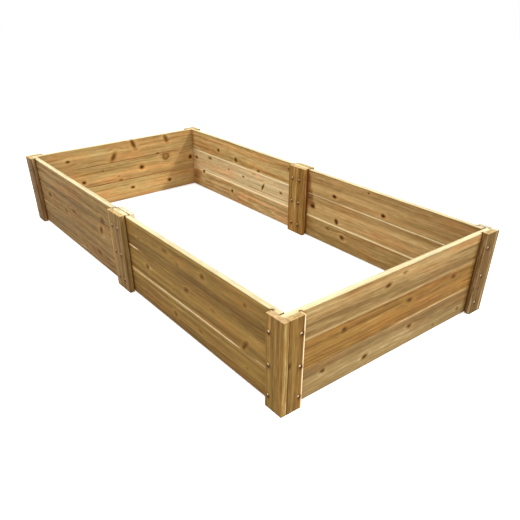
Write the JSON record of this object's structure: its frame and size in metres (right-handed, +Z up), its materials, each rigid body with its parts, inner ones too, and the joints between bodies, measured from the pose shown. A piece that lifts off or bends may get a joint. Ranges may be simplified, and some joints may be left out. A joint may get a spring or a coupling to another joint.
{
  "type": "raised garden bed",
  "caption": "Rectangular raised garden bed of tongue-and-groove cedar boards, screwed to corner posts and to sandwich posts at the middle of the long walls, open at top and bottom.",
  "frame": {"origin": "on the ground, under the middle of the bed", "axes": "+Z up, +X along the bed's length, +Y from the front long wall to the back one"},
  "size_m": [2.4384, 1.2192, 0.3969],
  "materials": {
    "wall_cedar": "unfinished cedar, planed",
    "post_cedar": "unfinished cedar, planed",
    "screw_steel": "zinc plated"
  },
  "bodies": {
    "root": {"back_left_board_bottom": "wall_cedar", "back_left_board_middle": "wall_cedar", "back_left_board_top": "wall_cedar", "back_left_end_board": "post_cedar", "back_left_end_screw_1": "screw_steel", "back_left_end_screw_2": "screw_steel", "back_left_end_screw_3": "screw_steel", "back_left_side_board": "post_cedar", "back_left_side_screw_1": "screw_steel", "back_left_side_screw_2": "screw_steel", "back_left_side_screw_3": "screw_steel", "back_mid_post_inner": "post_cedar", "back_mid_post_outer": "post_cedar", "back_right_board_bottom": "wall_cedar", "back_right_board_middle": "wall_cedar", "back_right_board_top": "wall_cedar", "back_right_end_board": "post_cedar", "back_right_end_screw_1": "screw_steel", "back_right_end_screw_2": "screw_steel", "back_right_end_screw_3": "screw_steel", "back_right_side_board": "post_cedar", "back_right_side_screw_1": "screw_steel", "back_right_side_screw_2": "screw_steel", "back_right_side_screw_3": "screw_steel", "front_left_board_bottom": "wall_cedar", "front_left_board_middle": "wall_cedar", "front_left_board_top": "wall_cedar", "front_left_end_board": "post_cedar", "front_left_end_screw_1": "screw_steel", "front_left_end_screw_2": "screw_steel", "front_left_end_screw_3": "screw_steel", "front_left_side_board": "post_cedar", "front_left_side_screw_1": "screw_steel", "front_left_side_screw_2": "screw_steel", "front_left_side_screw_3": "screw_steel", "front_mid_post_inner": "post_cedar", "front_mid_post_outer": "post_cedar", "front_right_board_bottom": "wall_cedar", "front_right_board_middle": "wall_cedar", "front_right_board_top": "wall_cedar", "front_right_end_board": "post_cedar", "front_right_end_screw_1": "screw_steel", "front_right_end_screw_2": "screw_steel", "front_right_end_screw_3": "screw_steel", "front_right_side_board": "post_cedar", "front_right_side_screw_1": "screw_steel", "front_right_side_screw_2": "screw_steel", "front_right_side_screw_3": "screw_steel", "left_end_board_bottom": "wall_cedar", "left_end_board_middle": "wall_cedar", "left_end_board_top": "wall_cedar", "right_end_board_bottom": "wall_cedar", "right_end_board_middle": "wall_cedar", "right_end_board_top": "wall_cedar"}
  },
  "joints": []
}
